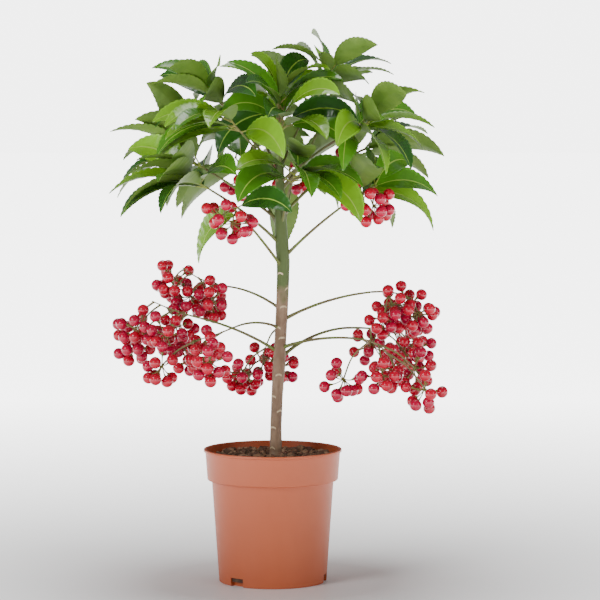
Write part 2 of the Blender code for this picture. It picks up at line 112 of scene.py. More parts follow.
# Berries
BERRY_RADIUS = 5.1 * MM
STALK_RADIUS = 0.55 * MM
STALK_LENGTH = 9.5 * MM
TWIG_RADIUS = 0.85 * MM
TWIG_STEPS = 2
BERRY_ROOM = 0.35 * MM
BERRY_TRIES = 20
FIRST_UMBEL = 0.15  # share of the stem before the first one
UMBEL_FAN = 230  # degrees that the twigs spread round the bough's turn
SHOOT_BERRIES = 3
SHOOT_HANG = 26.0

# A leafy shoot or a fruit truss, with the bough whose tip carries it. Heights and lengths in mm,
# turns and rises in degrees. foot: height on the trunk. turn: compass turn at the foot. rise and
# tip_rise: slope at the bough's foot and tip. length and reach: the bough's and the shoot's.
# umbels: how many heads of berries, each with that many berries, on twigs up to hang long.
# leaves, leaf, fan, lift: their number, length, spread round the bough's turn, and extra slope.
Shoot = namedtuple(
    "Shoot", "name foot turn rise tip_rise length reach leaves leaf fan lift umbels seed"
)
Truss = namedtuple(
    "Truss", "name foot turn rise tip_rise length reach end_rise umbels berries hang seed"
)

SHOOTS = (
    Shoot("front_left_low", 272, 230, 44, 38, 72, 18, 6, 66, 210, -12, 2, 1),
    Shoot("left_low", 292, 200, 44, 30, 82, 20, 7, 72, 210, -2, 0, 2),
    Shoot("left_mid", 312, 172, 40, 30, 80, 24, 7, 74, 220, 2, 0, 3),
    Shoot("back_left_low", 300, 122, 52, 34, 80, 24, 6, 70, 230, -4, 1, 104),
    Shoot("right_low", 281, 346, 46, 34, 82, 22, 7, 72, 210, -8, 2, 25),
    Shoot("front_low", 306, 288, 64, 44, 50, 20, 6, 70, 260, -10, 0, 86),
    Shoot("back_right_low", 316, 38, 42, 26, 90, 24, 6, 72, 220, -4, 1, 87),
    Shoot("back_low", 294, 82, 46, 34, 76, 24, 5, 70, 230, -4, 1, 108),
    Shoot("left_top", 352, 188, 54, 48, 66, 28, 8, 62, 250, 4, 0, 89),
    Shoot("front_top", 358, 276, 70, 52, 38, 22, 7, 64, 290, 0, 0, 110),
    Shoot("leader", 366, 260, 86, 80, 30, 26, 8, 60, 360, 8, 0, 71),
    Shoot("right_top", 340, 8, 44, 80, 84, 34, 8, 58, 320, 4, 0, 92),
    Shoot("right_mid", 346, 340, 42, 28, 74, 24, 7, 68, 220, 0, 0, 93),
    Shoot("back_right_top", 358, 58, 52, 46, 60, 26, 6, 64, 260, 2, 0, 94),
    Shoot("back_left_top", 355, 132, 52, 46, 60, 26, 6, 64, 260, 2, 0, 115),
    Shoot("front_left_top", 345, 224, 50, 40, 62, 24, 7, 66, 240, 0, 0, 16),
)
TRUSSES = (
    Truss("left_high", 236, 152, 34, 4, 60, 46, 34, 5, 3, 24, 241),
    Truss("left_front", 220, 222, 24, -16, 56, 46, -6, 5, 3, 48, 242),
    Truss("left", 199, 186, 34, 14, 76, 44, 26, 6, 3, 48, 243),
    Truss("back", 220, 112, 0, -48, 36, 26, -40, 4, 2, 40, 244),
    Truss("right_high", 227, 4, 29, 6, 82, 38, -26, 5, 3, 30, 245),
    Truss("right_front", 203, 328, 20, -4, 84, 28, -44, 5, 3, 54, 246),
    Truss("right_back", 194, 38, 34, -6, 94, 50, 0, 6, 3, 36, 247),
)

# What a seeded draw settles: a leaf on its stem, and a berry on its stalk
Leaf = namedtuple("Leaf", "root turn pitch droop roll length")
Berry = namedtuple("Berry", "root middle")


# The plan: where every limb, leaf and berry goes


def heading(turn, rise):
    a, e = math.radians(turn), math.radians(rise)
    return Vector((math.cos(a) * math.cos(e), math.sin(a) * math.cos(e), math.sin(e)))


def walk(start, turn, rise, tip_rise, length, steps):
    """Points along a limb whose slope changes evenly from rise to tip_rise."""
    points = [Vector(start)]
    for i in range(steps):
        slope = rise + (tip_rise - rise) * (i + 0.5) / steps
        points.append(points[-1] + heading(turn, slope) * (length / steps))
    return points


def along(points, share):
    """The point at that share of a line's length."""
    place = share * (len(points) - 1)
    i = min(int(place), len(points) - 2)
    return points[i].lerp(points[i + 1], place - i)


def trunk_place(height):
    """Middle and radius of the trunk at a height in mm."""
    for (z0, x0, r0), (z1, x1, r1) in zip(TRUNK_LINE, TRUNK_LINE[1:]):
        if height <= z1:
            share = (height - z0) / (z1 - z0)
            return Vector((x0 + (x1 - x0) * share, 0.0, height)) * MM, (r0 + (r1 - r0) * share) * MM
    raise ValueError(height)


def bough_line(row):
    foot, _ = trunk_place(row.foot)
    return walk(foot, row.turn, row.rise, row.tip_rise, row.length * MM, LIMB_STEPS)


def bough_radii(row):
    foot = LIMB_RADIUS * (0.6 + 0.005 * row.length)
    return [foot * (1.0 - (1.0 - LIMB_TIP) * i / LIMB_STEPS) for i in range(LIMB_STEPS + 1)]


def stem_line(row):
    """The stem that carries a shoot or truss on, just clear of its bough's tip."""
    line = bough_line(row)
    onward = (line[-1] - line[-2]).normalized()
    end_rise = row.end_rise if isinstance(row, Truss) else row.tip_rise + row.lift
    foot = line[-1] + onward * GAP
    return walk(foot, row.turn, row.tip_rise, end_rise, row.reach * MM, STEM_STEPS)


def stem_radii(row):
    foot = bough_radii(row)[-1]
    return [foot * (1.0 - (1.0 - STEM_TIP) * i / STEM_STEPS) for i in range(STEM_STEPS + 1)]


def ring(middle, direction, radius, sides):
    """Points round a line."""
    across = direction.orthogonal().normalized()
    other = direction.cross(across)
    turns = (math.tau * i / sides for i in range(sides))
    return [middle + radius * (math.cos(t) * across + math.sin(t) * other) for t in turns]


def loft(rings, tip=None):
    """Points and faces of a closed skin over rings of as many points each, and a tip point."""
    sides = len(rings[0])
    points = [p for r in rings for p in r]
    faces = [tuple(range(sides))]
    for k in range(len(rings) - 1):
        for i in range(sides):
            a, b = k * sides + i, k * sides + (i + 1) % sides
            faces.append((a, a + sides, b + sides, b))
    last = len(points) - sides
    if tip is None:
        faces.append(tuple(range(len(points) - 1, last - 1, -1)))
    else:
        points.append(tip)
        faces += [(last + i, len(points) - 1, last + (i + 1) % sides) for i in range(sides)]
    return points, faces


def sleeve(points, radii, room):
    """A skin round a limb, to test what comes near it."""
    rings = []
    for i, middle in enumerate(points):
        before, after = points[max(i - 1, 0)], points[min(i + 1, len(points) - 1)]
        rings.append(ring(middle, (after - before).normalized(), radii[i] + room, 6))
    return loft(rings)


def leaf_spine(leaf):
    """Place, direction, side and face down a blade's midrib, from its base to its tip."""
    level = heading(leaf.turn + 90.0, 0.0)
    place = leaf.root + heading(leaf.turn, leaf.pitch) * PETIOLE
    rows = []
    for i in range(LEAF_STEPS + 1):
        share = i / LEAF_STEPS
        direction = heading(leaf.turn, leaf.pitch - leaf.droop * share**1.2)
        lean = math.radians(leaf.roll)
        side = level * math.cos(lean) + direction.cross(level) * math.sin(lean)
        rows.append((place.copy(), direction, side, direction.cross(side)))
        place += direction * (leaf.length / LEAF_STEPS)
    return rows


def half_width(share):
    """Half a blade's width at a share of its length, as a share of its full width."""
    return 0.5 * max(math.sin(math.pi * share**0.88), 0.0) ** 0.82


def leaf_skin(leaf, swell=0.0, petiole=True):
    """A leaf's closed skin: its petiole, a folded blade and a pointed tip."""
    spine = leaf_spine(leaf)
    thick = LEAF_THICK / 2 + swell
    rings = []
    if petiole:
        _, _, side, face = spine[0]
        ways = (-side, face, side, -face)
        rings.append([leaf.root + way * (PETIOLE_RADIUS + swell) for way in ways])
    for share in LEAF_STATIONS:
        place, _, side, face = spine[round(share * LEAF_STEPS)]
        half = half_width(share) * LEAF_WIDTH * leaf.length + swell
        edge = face * half * LEAF_FOLD
        left, right = place - side * half + edge, place + side * half + edge
        rings.append([left, place + face * thick, right, place - face * thick])
    return loft(rings, spine[-1][0] + spine[-1][1] * swell)


class Room:
    """What already has its place. A new piece stays clear of it."""

    def __init__(self):
        self.skins = []
        self.berries = []

    def add(self, owner, kind, skin):
        self.skins.append((owner, kind, BVHTree.FromPolygons(*skin)))

    def others(self, owner, but):
        return (tree for name, kind, tree in self.skins if name != owner or kind not in but)

    def takes_skin(self, owner, skin, but=()):
        """Whether the skin meets nothing, apart from its owner's pieces of the kinds in but."""
        tree = BVHTree.FromPolygons(*skin)
        reach = BERRY_RADIUS + BERRY_ROOM
        if any(tree.overlap(other) for other in self.others(owner, but)):
            return False
        return all(tree.find_nearest(middle, reach)[0] is None for middle in self.berries)

    def takes_berry(self, middle):
        reach = BERRY_RADIUS + BERRY_ROOM
        if any((other - middle).length < reach + BERRY_RADIUS for other in self.berries):
            return False
        return all(tree.find_nearest(middle, reach)[0] is None for _, _, tree in self.skins)


def draw_leaf(row, line, index, attempt):
    """The leaf that the shoot's seed gives for this place on its stem, at this try."""
    chance = random.Random(f"{row.seed}/{index}/{attempt}")
    share = (index + 0.6) / row.leaves
    wander = 8 + 2.5 * attempt
    spread = (index + 1.7 * row.seed) * GOLDEN_SHARE % 1.0 - 0.5
    turn = row.turn + row.fan * spread + chance.uniform(-wander, wander)
    pitch = 14 + row.lift + 26 * share + chance.uniform(-wander, wander)
    droop = 76 - 16 * share + chance.uniform(-14, 14)
    length = row.leaf * MM * (1.06 - 0.2 * share) * chance.uniform(0.9, 1.1)
    root = along(line, share)
    outward = UP + Vector((root.x, root.y, 0.0)).normalized() * FACE_OUT
    level = heading(turn + 90.0, 0.0)
    face = heading(turn, pitch - droop / 2).cross(level)
    roll = math.degrees(math.atan2(-outward.dot(level), outward.dot(face)))
    return Leaf(root, turn, pitch, droop, roll + chance.uniform(-16, 16), length)


def fit_leaf(row, line, index, room):
    """A leaf at its first try that meets nothing, or None."""
    for attempt in range(LEAF_TRIES):
        leaf = draw_leaf(row, line, index, attempt)
        whole = leaf_skin(leaf, LEAF_ROOM)
        bare = leaf_skin(leaf, LEAF_ROOM, petiole=False)
        clear = room.takes_skin(row.name, whole, but=("stem", "leaf"))
        if clear and room.takes_skin(row.name, bare):
            room.add(row.name, "leaf", whole)
            return leaf
    return None


def plan_leaves(row, room):
    """The shoot's leaves, each at its first try that meets nothing."""
    line = stem_line(row)
    leaves = []
    for index in range(row.leaves):
        leaf = fit_leaf(row, line, index, room)
        if leaf:
            leaves.append(leaf)
    return leaves


def plan_umbel(row, index, middle, down, count, room):
    """Berries on stalks that spread from one point."""
    chance = random.Random(f"{row.seed}/umbel/{index}")
    berries = []
    for _ in range(count * BERRY_TRIES):
        spread = Vector([chance.gauss(0, 1) for _ in range(3)]).normalized()
        out = (down * chance.uniform(0.4, 1.2) + spread).normalized()
        reach = STALK_LENGTH * chance.uniform(0.75, 1.35) + BERRY_RADIUS
        berry = Berry(middle, middle + out * reach)
        stalk = sleeve([berry.root, berry.middle], [STALK_RADIUS] * 2, LEAF_ROOM)
        clear = room.takes_berry(berry.middle)
        if clear and room.takes_skin(row.name, stalk, but=("stem", "twig")):
            room.berries.append(berry.middle)
            berries.append(berry)
            if len(berries) == count:
                break
    return berries


def draw_twig(row, line, index, attempt, hang):
    """A twig that bends down from its place on the stem, and the way its end points."""
    chance = random.Random(f"{row.seed}/twig/{index}/{attempt}")
    share = FIRST_UMBEL + (1.0 - FIRST_UMBEL) * (index + 0.7) / row.umbels
    spread = (index + row.seed) * GOLDEN_SHARE % 1.0 - 0.5
    turn = row.turn + UMBEL_FAN * spread + chance.uniform(-20, 20)
    slope = -chance.uniform(30, 80)
    reach = hang * MM * chance.uniform(0.4, 1.0)
    down = (heading(turn, slope) - UP * 0.6).normalized()
    return walk(along(line, share), turn, slope * 0.3, slope, reach, TWIG_STEPS), down


def plan_fruit(row, room, berries_each, hang):
    """Twigs that hang from the stem, and the berries at each twig's end."""
    line = stem_line(row)
    twigs, berries, umbels = [], [], []
    for index in range(row.umbels):
        for attempt in range(BERRY_TRIES):
            twig, down = draw_twig(row, line, index, attempt, hang)
            skin = sleeve(twig, [TWIG_RADIUS] * len(twig), LEAF_ROOM)
            if room.takes_skin(row.name, skin, but=("stem", "twig")):
                room.add(row.name, "twig", skin)
                twigs.append(twig)
                umbels.append((index, twig[-1], down))
                berries += plan_umbel(row, index, twig[-1], down, berries_each, room)
                break
    return twigs, berries, umbels


def plan():
    """Every shoot's and truss's leaves, twigs and berries, by name."""
    room = Room()
    places = [trunk_place(z) for z, _, _ in TRUNK_LINE]
    room.add("trunk", "limb", sleeve([p for p, _ in places], [r for _, r in places], LEAF_ROOM))
    for row in TRUSSES + SHOOTS:
        room.add(row.name, "limb", sleeve(bough_line(row), bough_radii(row), LEAF_ROOM))
        room.add(row.name, "stem", sleeve(stem_line(row), stem_radii(row), LEAF_ROOM))
    made = {}
    for row in TRUSSES:
        made[row.name] = ([], *plan_fruit(row, room, row.berries, row.hang))
    for row in SHOOTS:
        fruit = plan_fruit(row, room, SHOOT_BERRIES, SHOOT_HANG)
        made[row.name] = (plan_leaves(row, room), *fruit)
    return made, room


# Finer growth, over the plan that the solids share

MORE_LEAVES = 4  # a shoot, in the room that is left
MORE_LEAVES_START = -0.3  # where the first of them stands, in leaf places down the stem
MORE_BERRIES = 7  # an umbel

# A leaf's blade
BLADE_STATIONS = 42
BLADE_COLUMNS = (-1.0, -0.86, -0.45, -0.05, 0.05, 0.45, 0.86, 1.0)  # shares of half its width
BLADE_THICK = 0.5 * MM
BLADE_TIP_HALF = 0.35 * MM
BLADE_FOLD_CURVE = 1.4  # power by which the edges rise from the midrib
SCALLOPS = 14  # down each side
SCALLOP_DEPTH = 0.045  # of the width
RUFFLE = 0.5 * MM
RUFFLE_LEVEL = 0.6  # the share of a scallop that stays level
VEINS = 8  # down each side
QUILT = 0.22 * MM  # rise of the blade between its veins
VEIN_SLANT = 0.2  # of the blade's length, from its midrib to its edge
UPPER, UNDER, RIB, EDGE = range(4)
BLADE_SLOTS = (EDGE, UPPER, UPPER, RIB, UPPER, UPPER, EDGE) + (UNDER,) * 7
TONE_ODDS = (3, 5, 3)  # bright, mid and deep leaves
PETIOLE_TAPER = (1.0, 0.75, 0.6)  # of its radius, from its root into the blade
PETIOLE_INTO_BLADE = 0.12  # of its length
PETIOLE_SIDES = 8

# Berries and their stalks
BERRY_AROUND = 16
BERRY_TURNS = tuple(math.pi * k / 12 for k in range(1, 12)) + (0.97 * math.pi,)
BERRY_SQUAT = 0.95
RIPE_SHARE = 0.35  # of the berries are crimson
STALK_SAG = 1.2 * MM
STALK_SIDES = 7
CALYX_DEPTH = 0.93  # of a berry's half height, from its middle to the stalk's end
STALK_RADII = (0.75 * MM, 0.5 * MM, 0.45 * MM, 0.5 * MM, 0.75 * MM, 1.5 * MM)

# Twigs, stems and boughs: steps between the plan's points, and sides round each
STEM_DETAIL = (6, 10)
TWIG_DETAIL = (5, 8)
TWIG_TAPER = (1.15, 0.85, 0.95)  # of its radius
BOUGH_DETAIL = (8, 12)
BOUGH_COLLAR = 1.35  # of its radius, where it leaves the trunk
BOUGH_UNEVEN = 0.07  # of its radius
BOUGH_BUMPS = 400  # a metre

# Bark
TRUNK_SIDES = 64
TRUNK_STEP = 0.5  # mm
BARK_RIDGE = 0.035  # of the radius
BARK_GRAINS = ((4, 14, 1.0), (9, 3, 0.5))  # bumps round, their height in mm, and strength
GREEN_FROM = 254.5 * MM
GREEN_OVER = (15.0 * MM, 35.0 * MM)  # start and end of the change, with the wander on top
GREEN_WANDER = 50.0 * MM
SCAR_REACH = 3  # bands on each side that a scar's ridge fades over
SCAR_HALF = 2.9  # half a scar's width, in mm
SCAR_BAND = 0.75  # half its height, in mm
SCAR_SAG = 0.16  # how fast its ends drop, in mm over the square of mm
SCAR_RISE = 0.35 * MM
SCARS = (  # height in mm and compass turn of the leaf scars that show
    (268.4, 237), (255.3, 321), (239.6, 284), (221.3, 232), (212.6, 282),
    (180.3, 270), (161.6, 220), (148.9, 307), (134.4, 234), (116.7, 227),
)
HIDDEN_SCARS = (6.0, 150)  # up and round from each of those, for the back

# Pot and chips
POT_SIDES = 128
WELD = 1e-6  # merge distance
CHIPS = 300
CHIP_SIZES = (1.6 * MM, 4.6 * MM)
CHIP_REACH = 54.0 * MM  # how far from the middle they lie
CHIP_NEAREST = 0.03  # the share of that area left clear round the trunk
CHIP_PILE = 1.6 * MM  # how high they lie over the compost
CHIP_LEAN = 0.35
CHIP_ROUGH = 0.22  # of its size
CHIP_LEVELS = ((-0.3, 0.7), (0.0, 1.0), (0.3, 0.75))  # height and width, of its size
CHIP_TINTS = (0, 0, 1, 2)  # half of them dark, the rest brown or tan

# Creases sharper than this many degrees stay hard
CREASE, POT_CREASE, CHIP_CREASE = 50, 35, 25


def grow():
    """The plan, then more leaves and berries in the room that is left."""
    made, room = plan()
    for row in TRUSSES + SHOOTS:
        leaves, _, berries, umbels = made[row.name]
        for index, root, down in umbels:
            berries += plan_umbel(row, f"more/{index}", root, down, MORE_BERRIES, room)
        if isinstance(row, Shoot):
            line = stem_line(row)
            for number in range(MORE_LEAVES):
                place = (number + 0.5) * row.leaves / MORE_LEAVES + MORE_LEAVES_START
                leaf = fit_leaf(row, line, place, room)
                if leaf:
                    leaves.append(leaf)
    return made


class Build:
    """A mesh gathered from many skins, with a material slot for each face."""

    def __init__(self):
        self.points, self.faces, self.slots = [], [], []

    def add(self, skin, slots=0):
        points, faces = skin
        start = len(self.points)
        self.points += points
        self.faces += [tuple(start + i for i in face) for face in faces]
        self.slots += [slots] * len(faces) if isinstance(slots, int) else slots

    def piece(self, name, looks, slot, replaced=(), crease=CREASE):
        mesh = bpy.data.meshes.new(name)
        mesh.from_pydata(self.points, [], self.faces)
        mesh.polygons.foreach_set("material_index", self.slots)
        shape = bmesh.new()
        shape.from_mesh(mesh)
        bmesh.ops.recalc_face_normals(shape, faces=shape.faces)
        shape.to_mesh(mesh)
        shape.free()
        return place_piece(name, mesh, looks, replaced, crease)


def place_piece(name, mesh, looks, replaced=(), crease=CREASE):
    for made in looks:
        mesh.materials.append(made)
    mesh.shade_smooth()
    mesh.set_sharp_from_angle(angle=math.radians(crease))
    piece = bpy.data.objects.new(name, mesh)
    bpy.context.scene.collection.objects.link(piece)
    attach(piece, "root")
    if replaced:
        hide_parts(*replaced)
    return piece


def smooth_line(points, radii, steps):
    """A limb's points and radii again, rounded through every point."""
    places, sizes = [], []
    for i in range(len(points) - 1):
        p0, p1, p2, p3 = (points[min(max(i + k, 0), len(points) - 1)] for k in (-1, 0, 1, 2))
        for k in range(steps):
            t = k / steps
            bend = (p2 - p0) * t
            bend += (2 * p0 - 5 * p1 + 4 * p2 - p3) * t**2
            bend += (3 * p1 - p0 - 3 * p2 + p3) * t**3
            places.append(p1 + bend / 2)
            sizes.append(radii[i] + (radii[i + 1] - radii[i]) * t)
    return places + [points[-1]], sizes + [radii[-1]]


def tube(points, radii, sides):
    """A closed skin round a line, with no twist from ring to ring."""
    rings = []
    across = (points[1] - points[0]).orthogonal().normalized()
    for i, (middle, radius) in enumerate(zip(points, radii)):
        onward = (points[min(i + 1, len(points) - 1)] - points[max(i - 1, 0)]).normalized()
        across = (across - onward * across.dot(onward)).normalized()
        other = onward.cross(across)
        turns = (math.tau * k / sides for k in range(sides))
        ways = (math.cos(t) * across + math.sin(t) * other for t in turns)
        rings.append([middle + radius * way for way in ways])
    return loft(rings)


def blade(leaf):
    """A leaf's blade as a closed skin, its slots too: folded, veined, with a scalloped margin."""
    spine = leaf_spine(leaf)
    rings = []
    for k in range(BLADE_STATIONS + 1):
        share = k / BLADE_STATIONS
        before = min(int(share * LEAF_STEPS), LEAF_STEPS - 1)
        part = share * LEAF_STEPS - before
        place, _, side, face = (a.lerp(b, part) for a, b in zip(spine[before], spine[before + 1]))
        scallop = abs(math.sin(math.pi * SCALLOPS * share))
        half = half_width(share) * LEAF_WIDTH * leaf.length
        half = max(half * (1.0 - SCALLOP_DEPTH * (1.0 - scallop)), BLADE_TIP_HALF)
        top, under = [], []
        for column in BLADE_COLUMNS:
            out = abs(column)
            rise = half * LEAF_FOLD * out**BLADE_FOLD_CURVE
            rise += RUFFLE * (scallop - RUFFLE_LEVEL) * out**3
            vein = math.sin(math.tau * VEINS * (share - VEIN_SLANT * out))
            rise += QUILT * vein * 4 * out * (1 - out)
            middle = place + side * half * column + face * rise
            thick = face * BLADE_THICK / 2 * (1.0 - out**2)
            top.append(middle + thick)
            under.append(middle - thick)
        rings.append(top + under[-2:0:-1])
    return loft(rings), [UNDER] + list(BLADE_SLOTS) * BLADE_STATIONS + [UNDER]


def berry_skin(berry):
    """A round berry on the line of its stalk, its eye at the far end."""
    axis = (berry.middle - berry.root).normalized()
    rings = []
    for turn in BERRY_TURNS:
        middle = berry.middle - axis * math.cos(turn) * BERRY_RADIUS * BERRY_SQUAT
        rings.append(ring(middle, axis, BERRY_RADIUS * math.sin(turn), BERRY_AROUND))
    skin = loft(rings, berry.middle + axis * BERRY_RADIUS * BERRY_SQUAT)
    body = len(skin[1]) - BERRY_AROUND
    return skin, [0] * body + [1] * BERRY_AROUND


def stalk_skin(berry):
    """A sagging stalk that flares into the berry's calyx."""
    reach = (berry.middle - berry.root).length
    end = berry.middle.lerp(berry.root, CALYX_DEPTH * BERRY_RADIUS * BERRY_SQUAT / reach)
    last = len(STALK_RADII) - 1
    points = []
    for k in range(last + 1):
        sag = UP * STALK_SAG * 4 * k * (last - k) / last**2
        points.append(berry.root.lerp(end, k / last) - sag)
    return tube(points, STALK_RADII, STALK_SIDES)


def trunk_skin():
    """The trunk with its bark's relief, and slots: leaf scars 1, all else 0."""
    up, round_ = HIDDEN_SCARS
    scars = SCARS + tuple((height + up, turn + round_) for height, turn in SCARS)
    low, high = TRUNK_LINE[0][0], TRUNK_LINE[-1][0]
    count = round((high - low) / TRUNK_STEP)
    rings, slots = [], [0]
    for k in range(count + 1):
        height = low + (high - low) * k / count
        middle, radius = trunk_place(height)
        rows = []
        for i in range(TRUNK_SIDES):
            turn = 360.0 * i / TRUNK_SIDES
            way = heading(turn, 0.0)
            bark = 0.0
            for around, tall, strength in BARK_GRAINS:
                spot = Vector((way.x * around, way.y * around, height / tall))
                bark += strength * noise.noise(spot)
            rise, scarred = 0.0, 0
            for scar_height, scar_turn in scars:
                aside = ((turn - scar_turn + 180) % 360 - 180) * math.radians(radius / MM)
                over = height - scar_height + SCAR_SAG * aside**2
                if abs(aside) < SCAR_HALF and abs(over) < SCAR_REACH * SCAR_BAND:
                    ridge = math.exp(-((over / SCAR_BAND) ** 2))
                    rise += SCAR_RISE * ridge * (1 - (aside / SCAR_HALF) ** 2)
                    scarred = int(abs(over) < SCAR_BAND)
            rows.append(middle + way * (radius * (1 + BARK_RIDGE * bark) + rise))
            if k < count:
                slots.append(scarred)
        rings.append(rows)
    return loft(rings), slots + [0]


def chip_skin(chance):
    """A flat, broken chip of bark lying on the compost."""
    size = chance.uniform(*CHIP_SIZES)
    way = chance.uniform(0, 360)
    out = CHIP_REACH * math.sqrt(chance.uniform(CHIP_NEAREST, 1.0))
    middle = heading(way, 0.0) * out + UP * (SOIL_TOP + chance.uniform(0.0, CHIP_PILE))
    lean = (UP + Vector([chance.gauss(0, CHIP_LEAN) for _ in range(3)])).normalized()
    rings = []
    for level, share in CHIP_LEVELS:
        rough = []
        for point in ring(middle + lean * level * size, lean, size * share, 6):
            shift = [chance.uniform(-CHIP_ROUGH, CHIP_ROUGH) * size for _ in range(3)]
            rough.append(point + Vector(shift))
        rings.append(rough)
    return loft(rings)


def pot_mesh():
    """The pot at a finer step than its solid, with rounded lips and the same three notches."""
    collar_foot = POT_HEIGHT - COLLAR_HEIGHT
    step = collar_foot + POT_WALL
    lip_foot = POT_HEIGHT - LIP_HEIGHT
    widening = (BODY_TOP_RADIUS - BODY_FOOT_RADIUS) * POT_FLOOR / collar_foot
    floor_radius = BODY_FOOT_RADIUS + widening - POT_WALL
    profile = (
        (0.0, POT_FLOOR),
        (floor_radius, POT_FLOOR),
        (BODY_TOP_RADIUS - POT_WALL, step),
        (COLLAR_FOOT_RADIUS - POT_WALL, step),
        (COLLAR_TOP_RADIUS - POT_WALL, POT_HEIGHT - LIP_EDGE),
        (COLLAR_TOP_RADIUS - POT_WALL + LIP_EDGE, POT_HEIGHT),
        (POT_RIM_RADIUS - LIP_EDGE, POT_HEIGHT),
        (POT_RIM_RADIUS - LIP_EDGE * 0.3, POT_HEIGHT - LIP_EDGE * 0.3),
        (POT_RIM_RADIUS, POT_HEIGHT - LIP_EDGE),
        (POT_RIM_RADIUS, lip_foot),
        (POT_RIM_RADIUS - LIP_EDGE, lip_foot - LIP_EDGE * 0.6),
        (COLLAR_TOP_RADIUS, lip_foot - LIP_EDGE),
        (COLLAR_FOOT_RADIUS, collar_foot + LIP_EDGE),
        (COLLAR_FOOT_RADIUS - LIP_EDGE, collar_foot),
        (BODY_TOP_RADIUS, collar_foot),
        (BODY_FOOT_RADIUS + LIP_EDGE * 0.5, LIP_EDGE),
        (BODY_FOOT_RADIUS - LIP_EDGE, 0.0),
        (FOOT_RING_RADIUS, 0.0),
        (FOOT_RING_RADIUS, BASE_RECESS),
        (BASE_DISC_RADIUS, BASE_RECESS),
        (BASE_DISC_RADIUS, 0.0),
        (0.0, 0.0),
    )
    shape = bmesh.new()
    knots = [shape.verts.new((radius, 0.0, height)) for radius, height in profile]
    edges = [shape.edges.new(pair) for pair in zip(knots, knots[1:])]
    bmesh.ops.spin(shape, geom=knots + edges, axis=UP, steps=POT_SIDES, angle=math.tau)
    bmesh.ops.remove_doubles(shape, verts=shape.verts, dist=WELD)
    bmesh.ops.recalc_face_normals(shape, faces=shape.faces)
    mesh = bpy.data.meshes.new("pot_shell")
    shape.to_mesh(mesh)
    shape.free()
    guide = bpy.data.objects.new("pot_guide", mesh)
    bpy.context.scene.collection.objects.link(guide)
    cutters = []
    for turn in DRAIN_TURNS:
        bpy.ops.mesh.primitive_cube_add(size=1.0)
        cutter = bpy.context.object
        cutter.location = heading(turn, 0.0) * BODY_FOOT_RADIUS
        cutter.rotation_euler.z = math.radians(turn)
        cutter.scale = (DRAIN_DEPTH, DRAIN_WIDTH, 2.0 * DRAIN_HEIGHT)
        notch = guide.modifiers.new("notch", "BOOLEAN")
        notch.object = cutter
        cutters.append(cutter)
    graph = bpy.context.evaluated_depsgraph_get()
    cut = bpy.data.meshes.new_from_object(guide.evaluated_get(graph))
    for old in cutters + [guide]:
        bpy.data.objects.remove(old)
    cut.materials.clear()
    return cut


# Materials

COAT_ROUGHNESS = 0.12
PATCH_EDGES = (0.38, 0.64)  # of the noise, where the first colour ends and the second is full
GRAIN_DEPTH = 0.4 * MM
GREEN_PATCHES = 70.0  # a metre, along the border of the trunk's green
LEAF_TONES = (
    ("bright", (0.13, 0.29, 0.008)),
    ("mid", (0.05, 0.165, 0.006)),
    ("deep", (0.016, 0.075, 0.006)),
)
WARM, PALE = 1.25, 1.5  # a leaf's patches and edge, times its own colour


def look(
    name, colour, roughness, second=None, patch=60.0, bump=0.0, grain=900.0, coat=0.0, stretch=1.0
):
    """A finish whose colour wanders to a second one, with a fine grain.

    patch and grain are features per metre. stretch below 1 draws both out along the height.
    """
    made = bpy.data.materials.new(name)
    made.use_nodes = True
    nodes, links = made.node_tree.nodes, made.node_tree.links
    shader = nodes["Principled BSDF"]
    shader.inputs["Base Color"].default_value = (*colour, 1.0)
    shader.inputs["Roughness"].default_value = roughness
    shader.inputs["Coat Weight"].default_value = coat
    shader.inputs["Coat Roughness"].default_value = COAT_ROUGHNESS
    place = nodes.new("ShaderNodeTexCoord")
    frame_map = nodes.new("ShaderNodeMapping")
    frame_map.inputs["Scale"].default_value = (1.0, 1.0, stretch)
    links.new(place.outputs["Object"], frame_map.inputs["Vector"])
    if second:
        patches = nodes.new("ShaderNodeTexNoise")
        patches.inputs["Scale"].default_value = patch
        patches.inputs["Detail"].default_value = 5.0
        ramp = nodes.new("ShaderNodeValToRGB")
        for stop, position, tint in zip(ramp.color_ramp.elements, PATCH_EDGES, (colour, second)):
            stop.position = position
            stop.color = (*tint, 1.0)
        links.new(frame_map.outputs["Vector"], patches.inputs["Vector"])
        links.new(patches.outputs["Fac"], ramp.inputs["Fac"])
        links.new(ramp.outputs["Color"], shader.inputs["Base Color"])
    if bump:
        fine = nodes.new("ShaderNodeTexNoise")
        fine.inputs["Scale"].default_value = grain
        fine.inputs["Detail"].default_value = 4.0
        relief = nodes.new("ShaderNodeBump")
        relief.inputs["Strength"].default_value = bump
        relief.inputs["Distance"].default_value = GRAIN_DEPTH
        links.new(frame_map.outputs["Vector"], fine.inputs["Vector"])
        links.new(fine.outputs["Fac"], relief.inputs["Height"])
        links.new(relief.outputs["Normal"], shader.inputs["Normal"])
    return made


